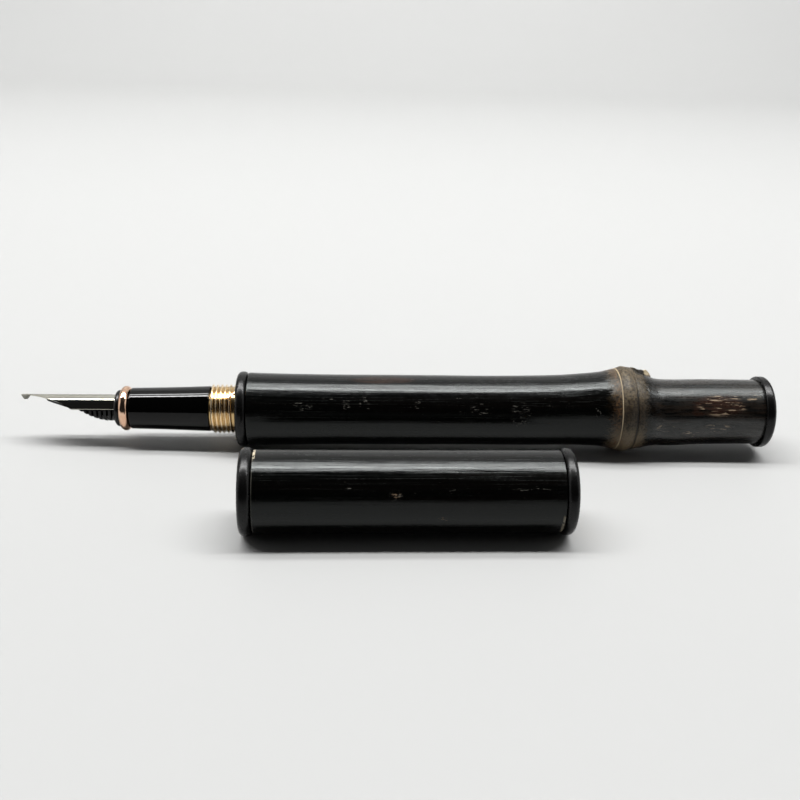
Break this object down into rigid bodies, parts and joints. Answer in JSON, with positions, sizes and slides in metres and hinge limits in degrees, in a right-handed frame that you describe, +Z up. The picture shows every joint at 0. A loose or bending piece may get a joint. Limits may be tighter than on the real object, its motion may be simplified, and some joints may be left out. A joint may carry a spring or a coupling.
{
  "type": "fountain pen",
  "caption": "Fountain pen with a black bamboo barrel, steel nib, comb feed, gold cap thread and piston converter, its bamboo cap lying in front.",
  "frame": {"origin": "on the table, under the middle of the pen and cap together", "axes": "+X along the pen from nib to rear end, -Y towards the cap and the viewer, +Z up"},
  "size_m": [0.154, 0.053, 0.0177],
  "materials": {
    "bamboo": "black-stained bamboo skin, satin, fine lengthwise streaks, brown at the node",
    "lacquer": "black lacquer, satin",
    "gold_thread": "bright gold-plated brass",
    "section_black": "polished black",
    "rose_gold": "polished rose-gold plate",
    "ebonite": "black, semi-matt",
    "nib_steel": "polished stainless steel",
    "tip_alloy": "ground grey alloy",
    "clear_plastic": "clear moulded plastic",
    "plated_collar": "bright nickel plate",
    "seal_rubber": "black rubber",
    "liner_plastic": "black moulded plastic"
  },
  "bodies": {
    "barrel": {"barrel_culm": "bamboo", "barrel_front_ring": "lacquer", "barrel_end_disc": "lacquer", "cap_thread_bushing": "gold_thread"},
    "converter": {"converter_tube": "clear_plastic", "converter_collar": "plated_collar"},
    "section": {"section_grip": "section_black", "section_trim_ring": "rose_gold", "section_sleeve": "gold_thread", "nib_housing": "ebonite", "nib": "nib_steel", "nib_tipping": "tip_alloy", "feed": "ebonite"},
    "piston": {"converter_piston": "seal_rubber", "converter_rod": "nib_steel"},
    "knob": {"converter_knob": "ebonite"},
    "cap": {"cap_culm": "bamboo", "cap_end_disc": "lacquer", "cap_mouth_ring": "lacquer", "cap_thread_insert": "gold_thread", "cap_liner": "liner_plastic"}
  },
  "joints": [
    {"name": "section_draw", "type": "slide", "parent": "barrel", "child": "converter", "axis": [-1, 0, -0.0088], "range_m": [0, 0.056]},
    {"name": "section_unscrew", "type": "hinge", "parent": "converter", "child": "section", "pos_m": [-0.03174, 0.01749, 0.0077], "axis": [-1, 0, -0.0088], "continuous": true},
    {"name": "knob_turn", "type": "hinge", "parent": "converter", "child": "knob", "pos_m": [-0.03174, 0.01749, 0.0077], "axis": [1, 0, 0.0088], "range_deg": [0, 2160]},
    {"name": "piston_travel", "type": "slide", "parent": "converter", "child": "piston", "axis": [-1, 0, -0.0088], "range_m": [0, 0.015]},
    {"name": "cap_draw", "type": "slide", "parent": "barrel", "child": "cap", "axis": [-0.9997, -0.0244, 0], "range_m": [0, 0.05]}
  ],
  "couplings": [
    {"joint": "knob_turn", "follows": "piston_travel", "rad_per_m": 2513.3}
  ]
}
